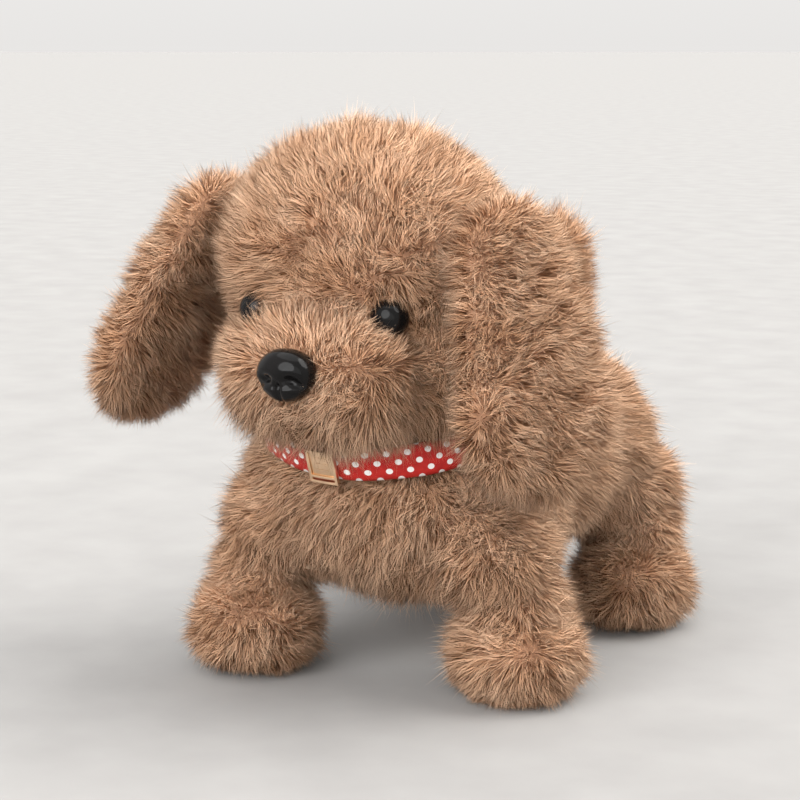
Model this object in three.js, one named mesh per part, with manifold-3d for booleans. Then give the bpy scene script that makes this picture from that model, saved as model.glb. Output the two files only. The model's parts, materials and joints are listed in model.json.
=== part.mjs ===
// A walking plush puppy: a soft dog over a plastic walking mechanism.
//
// Millimetres, +Z up. The puppy looks along -Y, its left side is +X, and it stands on Z = 0.
// Every sub-part is one closed solid in its own named mesh. At the end the whole puppy is moved
// sideways and lengthways so that the origin lies under the middle of its outline.

import * as THREE from 'three';
import { mergeVertices } from 'three/addons/utils/BufferGeometryUtils.js';
import Module from 'manifold-3d';

const wasm = await Module();
wasm.setup();

const LEFT = 1;
const RIGHT = -1;
const DEGREE = Math.PI / 180;

// ---------------------------------------------------------------- driving dimensions

// Clearance between two pieces that touch on the real toy, and running clearance of a moving one.
const touch = 0.3;
const running = 0.6;

// Legs: a hip axle along X carries each leg, and each leg stands a little ahead of or behind it.
const hipHeight = 50;
const frontHipY = -49.5;
const rearHipY = 52.5;
const legX = 43;
const legSwingAtRest = 9.5;
const legSwing = 12;

// Plastic chassis, split in two at X = 0.
const chassis = { halfWidth: 26, front: -57, back: 60, bottom: 34, top: 84, wall: 1.8 };

// Battery bay in the belly for two AA cells lying side by side.
const cell = { radius: 7.1, length: 50, pitch: 15.4, front: -23.5, height: 44.2 };
const bay = { halfWidth: 17.2, front: -28.5, back: 31, bottom: 36.1, top: 53, wall: 1.2 };
const door = { halfWidth: 18, front: -29, back: 33, thickness: 1.6 };

// Gear train from the motor to the crank shaft, all on axes along X.
const toothModule = 0.5;
const crankAxis = { y: 1.5, z: 63 };
const trainSlope = 18 * DEGREE;
const crankTeeth = 36;
const wheelTeeth = 30;
const pinionTeeth = 10;
const crankRadius = 10;

// Head: it nods on a pin along X at the top of the neck post.
const headPivot = { y: -50, z: 106 };
const skull = { y: -60, z: 134, radii: [47, 39, 40] };
const muzzle = { y: -80, z: 107, radii: [35, 24, 21] };
const eye = { x: 23.5, y: -87.5, z: 120, radius: 5.6 };
const nose = { y: -104.5, z: 105.5, radii: [8.6, 6.4, 7.4] };

// Ears: soft flaps sewn on at the sides of the head. The right one stands further out.
const earRoot = { x: 46, y: -58, z: 147 };
const ear = { thickness: 20, width: 52, length: 78 };
const earSpread = { left: 9, right: 27 };
const earTurn = { left: 20, right: 0 };

// Tail: upright, wagging from side to side on a pin along Y.
const tailPivot = { y: 70, z: 84 };
const tail = { y: 74, z: 116, radii: [11, 9.5, 25] };

// Body: chest, waist and rump of soft plush round the chassis, and the neck on top of the chest.
const hollow = { z: 60, radii: [47, 66, 31] };
const bodyForms = [
  { y: -36, z: 60, radii: [55, 40, 35] },
  { y: 4, z: 61, radii: [51, 46, 35] },
  { y: 40, z: 61, radii: [50, 40, 37] },
];
const neck = { y: -50, z: 83, radii: [39.5, 30, 9], slope: 20 };

// Collar: a satin ribbon round the widest line of the neck, with a metal slider at the throat.
const collar = { radii: [39, 29.5], width: 9.5, thickness: 0.8 };
const slider = { angle: -7, length: 9, width: 12, thickness: 1.2 };

// How many flats stand for a round bar, a thin pin and a soft ball (around it and from pole to pole).
const roundSides = 12;
const pinSides = 8;
const coarseBall = [12, 7];
const fineBall = [16, 9];

// ---------------------------------------------------------------- solids

function asSolid(geometry) {
  const bare = geometry.clone();
  bare.deleteAttribute('normal');
  bare.deleteAttribute('uv');
  const merged = mergeVertices(bare, 1e-4);
  const vertProperties = new Float32Array(merged.attributes.position.array);
  const triVerts = new Uint32Array(merged.index.array);
  return new wasm.Manifold(new wasm.Mesh({ numProp: 3, vertProperties, triVerts }));
}

function asGeometry(solid) {
  const mesh = solid.getMesh();
  const geometry = new THREE.BufferGeometry();
  geometry.setAttribute('position', new THREE.BufferAttribute(mesh.vertProperties, 3));
  geometry.setIndex(new THREE.BufferAttribute(mesh.triVerts, 1));
  geometry.computeVertexNormals();
  return geometry;
}

// A block from its lowest to its highest corner.
function block([x0, y0, z0], [x1, y1, z1]) {
  const geometry = new THREE.BoxGeometry(x1 - x0, y1 - y0, z1 - z0);
  geometry.translate((x0 + x1) / 2, (y0 + y1) / 2, (z0 + z1) / 2);
  return asSolid(geometry);
}

// A round bar along X from x0 to x1, centred on (y, z); the next two lie along Y and Z.
function barX(radius, x0, x1, y, z, sides = roundSides) {
  const geometry = new THREE.CylinderGeometry(radius, radius, x1 - x0, sides);
  geometry.rotateZ(Math.PI / 2);
  geometry.translate((x0 + x1) / 2, y, z);
  return asSolid(geometry);
}

function barY(radius, x, y0, y1, z, sides = roundSides) {
  const geometry = new THREE.CylinderGeometry(radius, radius, y1 - y0, sides);
  geometry.translate(x, (y0 + y1) / 2, z);
  return asSolid(geometry);
}

function barZ(radius, x, y, z0, z1, sides = roundSides) {
  const geometry = new THREE.CylinderGeometry(radius, radius, z1 - z0, sides);
  geometry.rotateX(Math.PI / 2);
  geometry.translate(x, y, (z0 + z1) / 2);
  return asSolid(geometry);
}

// An ellipsoid, its poles on the Z axis unless it is turned by degrees about X, Y and Z.
function ball([x, y, z], [rx, ry, rz], turn = [0, 0, 0], flats = coarseBall) {
  const geometry = new THREE.SphereGeometry(1, ...flats);
  geometry.rotateX(Math.PI / 2);
  geometry.scale(rx, ry, rz);
  return asSolid(geometry).rotate(turn).translate([x, y, z]);
}

function joined(...solids) {
  return solids.reduce((whole, solid) => whole.add(solid));
}

function cut(solid, ...tools) {
  return tools.reduce((rest, tool) => rest.subtract(tool), solid);
}

// The same solid on the right side of the puppy when side is RIGHT.
function onSide(solid, side) {
  return side === LEFT ? solid : solid.mirror([1, 0, 0]);
}

// ---------------------------------------------------------------- materials

function material(colour, roughness, metalness = 0) {
  return new THREE.MeshStandardMaterial({ color: colour, roughness, metalness });
}

const finish = {
  plush: material(0xa57a5c, 0.95),
  ribbon: material(0xb3161d, 0.5),
  gold: material(0xc9a15c, 0.3, 1),
  black: material(0x0b0b0c, 0.15),
  shell: material(0xd8d5cc, 0.6),
  frame: material(0x8c9097, 0.6),
  gear: material(0xe9e5d8, 0.5),
  steel: material(0xb9bbbe, 0.3, 1),
  board: material(0x1f6b3a, 0.6),
  cell: material(0x39424a, 0.4),
  cone: material(0x24211f, 0.8),
};

const puppy = new THREE.Group();

function add(name, solid, look, parent = puppy) {
  const mesh = new THREE.Mesh(asGeometry(solid), look);
  mesh.name = name;
  parent.add(mesh);
}

// ---------------------------------------------------------------- gears

const toothDepth = { above: 0.8 * toothModule, below: 1.15 * toothModule };
const toothHalfAngle = { tip: 0.10, pitch: 0.22, root: 0.34 };

function pitchRadius(teeth) {
  return (teeth * toothModule) / 2;
}

// A spur wheel along X from x0 to x1. One tooth, or one gap, points along facing, an angle
// from +Y towards +Z.
function toothedWheel(teeth, x0, x1, facing, hasGapThere) {
  const radius = pitchRadius(teeth);
  const step = (2 * Math.PI) / teeth;
  const first = facing + (hasGapThere ? step / 2 : 0);
  const outline = [];
  for (let tooth = 0; tooth < teeth; tooth += 1) {
    const middle = first + tooth * step;
    const flank = [
      [radius - toothDepth.below, -toothHalfAngle.root],
      [radius + toothDepth.above, -toothHalfAngle.tip],
      [radius + toothDepth.above, toothHalfAngle.tip],
      [radius - toothDepth.below, toothHalfAngle.root],
    ];
    for (const [distance, share] of flank) {
      const angle = middle + share * step;
      outline.push(new THREE.Vector2(distance * Math.cos(angle), distance * Math.sin(angle)));
    }
  }
  const geometry = new THREE.ExtrudeGeometry(new THREE.Shape(outline), {
    depth: x1 - x0,
    bevelEnabled: false,
  });
  // The outline's own x and y become Y and Z, and its depth becomes X.
  geometry.applyMatrix4(new THREE.Matrix4().set(0, 0, 1, x0, 1, 0, 0, 0, 0, 1, 0, 0, 0, 0, 0, 1));
  return asSolid(geometry);
}

function placedOn(axis, solid) {
  return solid.translate([0, axis.y, axis.z]);
}

// The axis at a gear's distance from another one, in the direction of the train's slope.
function nextAxis(axis, teeth, otherTeeth, slope) {
  const distance = pitchRadius(teeth) + pitchRadius(otherTeeth);
  return { y: axis.y + distance * Math.cos(slope), z: axis.z + distance * Math.sin(slope) };
}

const secondAxis = nextAxis(crankAxis, crankTeeth, pinionTeeth, trainSlope);
const firstAxis = nextAxis(secondAxis, wheelTeeth, pinionTeeth, trainSlope);
const motorAxis = nextAxis(firstAxis, wheelTeeth, pinionTeeth, 0);

// Layers of the train along X, from the motor's pinion out to the crank gear.
const layer = {
  motorPinion: [5.6, 10.2],
  firstWheel: [6.4, 9.6],
  firstPinion: [9.6, 14.6],
  secondWheel: [10.8, 14],
  secondPinion: [14, 19],
  crankGear: [15, 18.4],
};
const axleRadius = 1;
const shaftRadius = 1.5;
const plate = { x0: 3, x1: 4.6 };

function reductionGear(name, axis, wheelLayer, pinionLayer, wheelFacing, pinionFacing) {
  const wheel = toothedWheel(wheelTeeth, ...wheelLayer, wheelFacing, true);
  const pinion = toothedWheel(pinionTeeth, ...pinionLayer, pinionFacing, false);
  const bore = barX(axleRadius + 0.08, wheelLayer[0] - 1, pinionLayer[1] + 1, 0, 0, pinSides);
  add(name, placedOn(axis, cut(joined(wheel, pinion), bore)), finish.gear);
}

function gearAxle(name, axis) {
  const x1 = chassis.halfWidth - chassis.wall - touch;
  add(name, barX(axleRadius, plate.x1 + touch, x1, axis.y, axis.z, pinSides), finish.steel);
}

function gearTrain() {
  const backwards = Math.PI;
  const pinion = cut(
    toothedWheel(pinionTeeth, ...layer.motorPinion, backwards, false),
    barX(1 + touch / 3, 0, 20, 0, 0, pinSides),
  );
  add('motor_pinion', placedOn(motorAxis, pinion), finish.gear);
  reductionGear('first_reduction_gear', firstAxis, layer.firstWheel, layer.firstPinion, 0,
    trainSlope + backwards);
  reductionGear('second_reduction_gear', secondAxis, layer.secondWheel, layer.secondPinion,
    trainSlope, trainSlope + backwards);
  gearAxle('first_gear_axle', firstAxis);
  gearAxle('second_gear_axle', secondAxis);
  const crankGear = cut(
    toothedWheel(crankTeeth, ...layer.crankGear, trainSlope, true),
    barX(shaftRadius + touch / 3, 0, 30, 0, 0, pinSides),
  );
  add('crank_gear', placedOn(crankAxis, crankGear), finish.gear);
}

function gearboxPlate() {
  const [y0, y1] = [crankAxis.y - 8, chassis.back - chassis.wall - touch];
  const [z0, z1] = [bay.top + touch, chassis.top - chassis.wall - touch];
  const sheet = block([plate.x0, y0, z0], [plate.x1, y1, z1]);
  const shaftHole = barX(shaftRadius + running / 2, 0, 10, crankAxis.y, crankAxis.z);
  const motorHole = barX(3.4, 0, 10, motorAxis.y, motorAxis.z);
  add('gearbox_plate', cut(sheet, shaftHole, motorHole), finish.frame);
}

function motor() {
  const [x0, x1] = [-22, plate.x0 - touch];
  const can = barX(10, x0, x1, motorAxis.y, motorAxis.z);
  const flats = block([x0, motorAxis.y - 11, motorAxis.z - 7.5],
    [x1, motorAxis.y + 11, motorAxis.z + 7.5]);
  const bearing = barX(3, x1 - 1, plate.x1, motorAxis.y, motorAxis.z);
  const bore = barX(1 + touch, x1 - 1, 20, motorAxis.y, motorAxis.z, pinSides);
  add('motor', cut(joined(can.intersect(flats), bearing), bore), finish.steel);
  const shaft = barX(1, x1 - 1 + touch, layer.motorPinion[1] + touch, motorAxis.y, motorAxis.z, pinSides);
  add('motor_shaft', shaft, finish.steel);
}

// ---------------------------------------------------------------- cranks

const disc = { inner: chassis.halfWidth + running, thickness: 2, radius: 13 };
const crankPin = { radius: 1.4, length: 1.1 };

function crankShaft() {
  const end = disc.inner + disc.thickness;
  add('crank_shaft', barX(shaftRadius, -end, end, crankAxis.y, crankAxis.z, pinSides), finish.steel);
}

// A disc on each end of the crank shaft, with a pin for the leg levers. The two pins stand
// half a turn apart, so that the legs on the two sides move in opposite ways.
function crankDisc(name, side) {
  const outer = disc.inner + disc.thickness;
  const plateSolid = barX(disc.radius, disc.inner, outer, crankAxis.y, crankAxis.z);
  const turnAtRest = (legSwingAtRest / legSwing) * 90 * DEGREE;
  const pinY = crankAxis.y + side * crankRadius * Math.cos(turnAtRest);
  const pinZ = crankAxis.z - side * crankRadius * Math.sin(turnAtRest);
  const pin = barX(crankPin.radius, outer - 0.5, outer + crankPin.length, pinY, pinZ, pinSides);
  const bore = barX(shaftRadius + touch / 3, 0, 40, crankAxis.y, crankAxis.z, pinSides);
  add(name, onSide(cut(joined(plateSolid, pin), bore), side), finish.gear);
}

// ---------------------------------------------------------------- chassis

function hollowHalf() {
  const c = chassis;
  const outer = block([touch / 2, c.front, c.bottom], [c.halfWidth, c.back, c.top]);
  const inner = block(
    [-1, c.front + c.wall, c.bottom + c.wall],
    [c.halfWidth - c.wall, c.back - c.wall, c.top - c.wall],
  );
  return cut(outer, inner);
}

const hipBossLength = 2.4;
const hipScrewRadius = 1.6;
const speaker = { radius: 14, front: -54.9, back: -46, z: 64 };
const neckPost = { halfWidth: 5, halfDepth: 4.8 };
const tailBoss = { halfWidth: 4.2, y0: 57.5, y1: 61 };

function speakerGrille() {
  const holes = [];
  const ringRadius = 7;
  for (let hole = 0; hole < 6; hole += 1) {
    const angle = hole * 60 * DEGREE;
    const x = ringRadius * Math.cos(angle);
    const z = speaker.z + ringRadius * Math.sin(angle);
    holes.push(barY(1.5, x, chassis.front - 1, chassis.front + chassis.wall + 1, z, 10));
  }
  return holes;
}

function chassisShell(name, side) {
  const c = chassis;
  const outside = c.halfWidth + hipBossLength;
  const bosses = [frontHipY, rearHipY].map((y) => barX(5, c.halfWidth - 0.5, outside, y, hipHeight));
  const screwHoles = [frontHipY, rearHipY].map(
    (y) => barX(hipScrewRadius + touch / 3, c.halfWidth - 5, outside + 5, y, hipHeight, pinSides),
  );
  const shaftHole = barX(shaftRadius + running / 2, 0, 40, crankAxis.y, crankAxis.z);
  const bellyHole = block([-1, door.front - touch, c.bottom - 1],
    [door.halfWidth + touch, door.back + touch, c.bottom + c.wall + 1]);
  const switchSlot = block([-1, 38, c.bottom - 1], [2.6, 47, c.bottom + c.wall + 1]);
  const neckHole = block(
    [-1, headPivot.y - neckPost.halfDepth - touch, c.top - c.wall - 1],
    [neckPost.halfWidth + touch, headPivot.y + neckPost.halfDepth + touch, c.top + 1],
  );
  const shell = cut(joined(hollowHalf(), ...bosses), ...screwHoles, shaftHole, bellyHole,
    switchSlot, neckHole, ...speakerGrille());
  add(name, onSide(shell, side), finish.shell);
}

// The post stands on a foot inside the chassis and carries the head's pivot pin.
function neckPostPart() {
  const { halfWidth, halfDepth } = neckPost;
  const inside = chassis.top - chassis.wall - touch;
  const foot = block([-14, headPivot.y - 4.8, inside - 2], [14, headPivot.y + 12, inside]);
  const post = block(
    [-halfWidth, headPivot.y - halfDepth, inside - 1],
    [halfWidth, headPivot.y + halfDepth, headPivot.z],
  );
  const eyeEnd = barX(halfDepth, -halfWidth, halfWidth, headPivot.y, headPivot.z);
  const bore = barX(headPin.radius + touch / 2, -20, 20, headPivot.y, headPivot.z, pinSides);
  add('neck_post', cut(joined(foot, post, eyeEnd), bore), finish.frame);
}

function batteryTray() {
  const b = bay;
  const outer = block([-b.halfWidth, b.front, b.bottom], [b.halfWidth, b.back, b.top]);
  const inner = block(
    [-b.halfWidth + b.wall, b.front + b.wall, b.bottom - 1],
    [b.halfWidth - b.wall, b.back - b.wall, b.top - b.wall],
  );
  add('battery_tray', cut(outer, inner), finish.frame);
}

// One cell points forward and the other one back, each with a raised button at its plus end.
function batteryCell(name, side) {
  const x = (side * cell.pitch) / 2;
  const button = 1;
  const [y0, y1] = [cell.front, cell.front + cell.length];
  const can = side === LEFT
    ? barY(cell.radius, x, y0 + button, y1, cell.height)
    : barY(cell.radius, x, y0, y1 - button, cell.height);
  const nub = side === LEFT
    ? barY(2.6, x, y0, y0 + 2, cell.height, 16)
    : barY(2.6, x, y1 - 2, y1, cell.height, pinSides);
  add(name, joined(can, nub), finish.cell);
}

// The plate at the front joins the two cells, and two tags at the back lead to the wires.
function batteryContacts() {
  const plateFront = bay.front + bay.wall + touch;
  const half = cell.pitch / 2 + 5;
  add('cell_link_plate',
    block([-half, plateFront, cell.height - 5], [half, plateFront + 0.5, cell.height + 5]),
    finish.steel);
  const tagBack = bay.back - bay.wall - touch;
  for (const [name, side] of [['contact_tag_left', LEFT], ['contact_tag_right', RIGHT]]) {
    const x = (side * cell.pitch) / 2;
    add(name, block([x - 5, tagBack - 0.5, cell.height - 5], [x + 5, tagBack, cell.height + 5]),
      finish.steel);
  }
}

// A coil that narrows towards the cell's flat end.
class ConeCoil extends THREE.Curve {
  constructor(x, yWide, yNarrow) {
    super();
    Object.assign(this, { x, yWide, yNarrow, turns: 2.5, wide: 3.6, narrow: 1.8 });
  }

  getPoint(t, target = new THREE.Vector3()) {
    const radius = this.wide + (this.narrow - this.wide) * t;
    const angle = 2 * Math.PI * this.turns * t;
    return target.set(
      this.x + radius * Math.cos(angle),
      this.yWide + (this.yNarrow - this.yWide) * t,
      cell.height + radius * Math.sin(angle),
    );
  }
}

function contactSpring(name, side, yWide, yNarrow) {
  const wire = new THREE.Shape();
  wire.absarc(0, 0, 0.3, 0, 2 * Math.PI);
  const coil = new ConeCoil((side * cell.pitch) / 2, yWide, yNarrow);
  const geometry = new THREE.ExtrudeGeometry(wire, {
    steps: 24, curveSegments: 3, extrudePath: coil, bevelEnabled: false,
  });
  add(name, asSolid(geometry), finish.steel);
}

function springs() {
  const gap = touch + 0.35;
  const frontWide = bay.front + bay.wall + touch + 0.5 + gap;
  const backWide = bay.back - bay.wall - touch - 0.5 - gap;
  contactSpring('contact_spring_right', RIGHT, frontWide, cell.front - gap);
  contactSpring('contact_spring_left', LEFT, backWide, cell.front + cell.length + gap);
}

// ---------------------------------------------------------------- door and switch

const doorHinge = { y: door.front + 1.2, z: chassis.bottom + 0.9 };
const doorScrew = { y: door.back - 3.4, headRadius: 2.6, shankRadius: 1.4 };

function batteryDoor() {
  const { halfWidth, front, back, thickness } = door;
  const low = chassis.bottom;
  const lid = block([-halfWidth, front + 1, low], [halfWidth, back, low + thickness]);
  const hook = barX(0.9, -10, 10, doorHinge.y, doorHinge.z, pinSides);
  const ribs = [-9, 0, 9].map(
    (x) => block([x - 0.5, front + 6, low - 0.6], [x + 0.5, back - 8, low + 0.2]),
  );
  const seat = barZ(doorScrew.headRadius + touch, 0, doorScrew.y, low - 1, low + 0.7);
  const hole = barZ(doorScrew.shankRadius + touch, 0, doorScrew.y, low - 1, low + 4, pinSides);
  add('battery_door', cut(joined(lid, hook, ...ribs), seat, hole), finish.shell);
}

function batteryDoorScrew() {
  const low = chassis.bottom - 0.6;
  const head = barZ(doorScrew.headRadius, 0, doorScrew.y, low, low + 1);
  const shank = barZ(doorScrew.shankRadius, 0, doorScrew.y, low, low + 2.6, pinSides);
  const slots = [
    block([-1.7, doorScrew.y - 0.3, low - 1], [1.7, doorScrew.y + 0.3, low + 0.5]),
    block([-0.3, doorScrew.y - 1.7, low - 1], [0.3, doorScrew.y + 1.7, low + 0.5]),
  ];
  add('battery_door_screw', cut(joined(head, shank), ...slots), finish.steel);
}

function powerSwitch() {
  const low = chassis.bottom;
  const knob = block([-2, 38.6, low - 1.4], [2, 43, low + 3]);
  const carrier = block([-4, 37.6, low + chassis.wall + touch], [4, 44, low + chassis.wall + 1.8]);
  const grips = [39.4, 40.8, 42.2].map((y) => block([-3, y - 0.25, low - 2], [3, y + 0.25, low - 1]));
  add('power_switch', cut(joined(knob, carrier), ...grips), finish.black);
}

// ---------------------------------------------------------------- electronics

function circuitBoard() {
  const base = block([-20, -43.5, 39], [20, -42, 78]);
  const chip = block([-5, -42.2, 55], [5, -40.6, 65]);
  const capacitor = barY(2.6, 11, -42.2, -36, 72, pinSides);
  const resistors = [-14, -10, -6].map((x) => block([x - 0.8, -42.2, 70], [x + 0.8, -41, 75]));
  const header = block([-12, -42.2, 42], [-2, -38, 46]);
  add('circuit_board', joined(base, chip, capacitor, header, ...resistors), finish.board);
}

function speakerPart() {
  const { radius, front, back, z } = speaker;
  const rim = barY(radius, 0, front, front + 2, z);
  const basket = barY(radius - 3, 0, front + 1, back - 3, z);
  const magnet = barY(radius - 6, 0, back - 4, back, z);
  const dish = ball([0, front - 1, z], [radius - 2.5, 2.6, radius - 2.5]);
  add('speaker', cut(joined(rim, basket, magnet), dish), finish.cone);
}

// ---------------------------------------------------------------- legs

const legs = [
  { name: 'front_left', side: LEFT, hipY: frontHipY, lean: 1, lever: 1 },
  { name: 'front_right', side: RIGHT, hipY: frontHipY, lean: -1, lever: 1 },
  { name: 'rear_left', side: LEFT, hipY: rearHipY, lean: -1, lever: -1 },
  { name: 'rear_right', side: RIGHT, hipY: rearHipY, lean: 1, lever: -1 },
];
// The lever layers lie outside the crank discs: the front pair next to them, the rear pair beyond.
const leverThickness = 1.8;
const frontLeverX = disc.inner + disc.thickness + crankPin.length + 0.5;
const rearLeverX = frontLeverX + leverThickness + 0.8;
const shank = { x0: 37.6, x1: 45, halfDepth: 5 };
const foot = { x0: 33, x1: 53, halfDepth: 10, low: 4, high: 7 };

// The plastic inside of a leg, hip at the origin, hanging straight down. Its lever reaches
// towards the crank shaft and ends in a slot. Grow makes the same shape larger all round.
function legFrameShape(leg, grow) {
  const g = grow;
  const down = -hipHeight;
  const leverX = leg.lever > 0 ? frontLeverX : rearLeverX;
  const hubEnd = shank.x0 + 2;
  const hub = barX(6 + g, frontLeverX - g, hubEnd + g, 0, 0);
  const bar = block([shank.x0 - g, -shank.halfDepth - g, down + foot.low - g],
    [shank.x1 + g, shank.halfDepth + g, 4 + g]);
  const plateSolid = block([foot.x0 - g, -foot.halfDepth - g, down + foot.low - g],
    [foot.x1 + g, foot.halfDepth + g, down + foot.high + g]);
  return { body: joined(hub, bar, plateSolid), leverX };
}

function legLever(leg, leverX) {
  const reach = leg.lever * (crankAxis.y - leg.hipY);
  const rise = crankAxis.z - hipHeight;
  const length = Math.hypot(reach, rise);
  const slope = Math.atan2(rise, reach) / DEGREE;
  const arm = block([leverX, 0, -3.6], [leverX + leverThickness, length + 5, 3.6]);
  const slot = block([leverX - 1, length - 3.4, -1.8], [leverX + leverThickness + 1, length + 3.4, 1.8]);
  const sloped = cut(arm, slot).rotate([slope, 0, 0]);
  return leg.lever > 0 ? sloped : sloped.mirror([0, 1, 0]);
}

// A leg leans from the hip by a turn about X, is put in its place, and is cut off at the ground.
function standing(solid, leg) {
  const ground = block([-100, -150, -30], [100, 150, 0]);
  const leaned = solid.rotate([leg.lean * legSwingAtRest, 0, 0]).translate([0, leg.hipY, hipHeight]);
  return onSide(cut(leaned, ground), leg.side);
}

function legFrame(leg) {
  const { body, leverX } = legFrameShape(leg, 0);
  const bore = barX(hipScrewRadius + running / 2, 20, 60, 0, 0, pinSides);
  const pocket = barX(3.6, shank.x1 - 3, 60, 0, 0);
  const whole = cut(joined(body, legLever(leg, leverX)), bore, pocket);
  add(`${leg.name}_leg_frame`, standing(whole, leg), finish.frame);
}

function hipScrew(leg) {
  const seat = shank.x1 - 3;
  const head = barX(3, seat + touch, seat + 2, leg.hipY, hipHeight);
  const body = barX(hipScrewRadius, chassis.halfWidth - 4, seat + 1, leg.hipY, hipHeight, pinSides);
  add(`${leg.name}_hip_screw`, onSide(joined(head, body), leg.side), finish.steel);
}

// The soft leg: a round paw, a thick shank and a shoulder over the hip, hollow for its frame.
function legPlush(leg) {
  const down = -hipHeight;
  const paw = ball([legX, -1.5, down + 15], [19, 21, 17]);
  const upper = ball([legX, 0, down + 34], [17.5, 17.5, 24]);
  const inside = legFrameShape(leg, touch + 0.1).body;
  const opening = block([0, -40, down + 32], [shank.x0 - 0.6, 40, 40]);
  const wayIn = block([shank.x0 - 1, -shank.halfDepth - 0.5, -8],
    [shank.x1 + 0.5, shank.halfDepth + 0.5, 12]);
  const screwRoom = barX(4, shank.x0, shank.x1 + 2, 0, 0, pinSides);
  const sleeve = cut(joined(paw, upper), inside, opening, wayIn, screwRoom);
  add(`${leg.name}_leg_plush`, standing(sleeve, leg), finish.plush);
}

// ---------------------------------------------------------------- head

const headPin = { radius: 1.5, halfLength: 11.5 };
const nodRoom = 6;
const core = { y: -58, z: 130, radii: [25, 21, 23], wall: 1.8, cutBelow: 116 };
const lug = { x0: 6, x1: 9.6 };

function headCore() {
  const { y, z, radii, wall, cutBelow } = core;
  const outer = ball([0, y, z], radii);
  const inner = ball([0, y, z], radii.map((r) => r - wall));
  const under = block([-60, -120, 0], [60, 20, cutBelow]);
  const lugs = [1, -1].map((side) => onSide(joined(
    block([lug.x0, headPivot.y - 5, headPivot.z], [lug.x1, headPivot.y + 5, cutBelow + 1]),
    barX(5, lug.x0, lug.x1, headPivot.y, headPivot.z),
  ), side));
  const floorLevel = block([-60, -120, cutBelow], [60, 20, cutBelow + wall]);
  const floor = ball([0, y, z], radii).intersect(floorLevel);
  const postRoom = block([-5.6, -57, cutBelow - 1], [5.6, -43.4, cutBelow + 4]);
  const bores = barX(headPin.radius + touch / 2, -20, 20, headPivot.y, headPivot.z, pinSides);
  add('head_core', cut(joined(cut(outer, inner, under), ...lugs, floor), postRoom, bores), finish.frame);
}

function headPivotPin() {
  const { radius, halfLength } = headPin;
  const pin = barX(radius, -halfLength, halfLength, headPivot.y, headPivot.z, pinSides);
  add('head_pivot_pin', pin, finish.steel);
}

// A face piece is pushed through the plush from outside and held by a washer on its shank.
const faceShank = { radius: 1.5, length: 11 };

function facePiece(front, [x, y, z], turn) {
  const stem = barY(faceShank.radius, 0, 0, faceShank.length, 0, pinSides);
  return joined(front, stem).rotate(turn).translate([x, y, z]);
}

function washer([x, y, z], turn, radius, at) {
  const ring = cut(
    barY(radius, 0, at, at + 1, 0),
    barY(faceShank.radius + touch / 2, 0, at - 1, at + 2, 0, pinSides),
  );
  return ring.rotate(turn).translate([x, y, z]);
}

const eyeTurn = [0, 0, 24];
const washerAt = 8;
const noseWasherAt = 8.6;

function eyeSolid(grow) {
  const r = eye.radius + grow;
  const dome = cut(ball([0, 0, 0], [r, r * 0.72, r]), block([-9, 1 + grow, -9], [9, 9, 9]));
  return facePiece(dome, [eye.x, eye.y, eye.z], eyeTurn);
}

function noseSolid(grow) {
  const [rx, ry, rz] = nose.radii.map((r) => r + grow);
  const dome = ball([0, 0, 1], [rx, ry, rz - 1.4]);
  const lobes = [1, -1].map((s) => ball([s * 2.6, 0.6, -3.2], [rx - 3.8, ry - 1.6, rz - 2.6]));
  return facePiece(joined(dome, ...lobes), [0, nose.y, nose.z], [0, 0, 0]);
}

function nostrils() {
  return [1, -1].map((s) => ball(
    [s * 3.9, nose.y - 5.2, nose.z + 0.6], [1.7, 2.2, 1.2], [0, s * 20, 0], [10, 6]));
}

function face() {
  for (const [label, side] of [['left', LEFT], ['right', RIGHT]]) {
    add(`eye_${label}`, onSide(eyeSolid(0), side), finish.black);
    const ring = washer([eye.x, eye.y, eye.z], eyeTurn, 5, washerAt);
    add(`eye_washer_${label}`, onSide(ring, side), finish.shell);
  }
  add('nose', cut(noseSolid(0), ...nostrils()), finish.black);
  add('nose_washer', washer([0, nose.y, nose.z], [0, 0, 0], 6, noseWasherAt), finish.shell);
}

function headPlush() {
  const outer = joined(
    ball([0, skull.y, skull.z], skull.radii, [0, 0, 0], fineBall),
    ball([0, muzzle.y, muzzle.z], muzzle.radii, [0, 0, 0], fineBall),
  );
  const coreRoom = ball([0, core.y, core.z], core.radii.map((r) => r + 1));
  const neckRoom = joined(
    barZ(15, 0, headPivot.y - 2, 60, 124),
    onNeck(ball([0, 0, 0], neck.radii.map((r) => r + nodRoom), [0, 0, 0], fineBall)),
  );
  const eyeRoom = [LEFT, RIGHT].map((side) => onSide(joined(
    eyeSolid(touch),
    barY(5.4, 0, washerAt - touch, washerAt + 1 + touch, 0, 16)
      .rotate(eyeTurn).translate([eye.x, eye.y, eye.z]),
  ), side));
  const noseRoom = joined(
    noseSolid(touch),
    barY(6.4, 0, noseWasherAt - touch, noseWasherAt + 1 + touch, 0, 16)
      .translate([0, nose.y, nose.z]),
  );
  const shankEnd = nose.y + faceShank.length + 1;
  const shankRoom = barY(faceShank.radius + touch, 0, nose.y, shankEnd, nose.z, pinSides);
  const eyeShankRoom = [LEFT, RIGHT].map((side) => onSide(
    barY(faceShank.radius + touch, 0, 0, faceShank.length + 1, 0, pinSides)
      .rotate(eyeTurn).translate([eye.x, eye.y, eye.z]), side));
  const plush = cut(outer, coreRoom, neckRoom, ...eyeRoom, noseRoom, shankRoom, ...eyeShankRoom);
  add('head_plush', plush, finish.plush);
}

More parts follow.
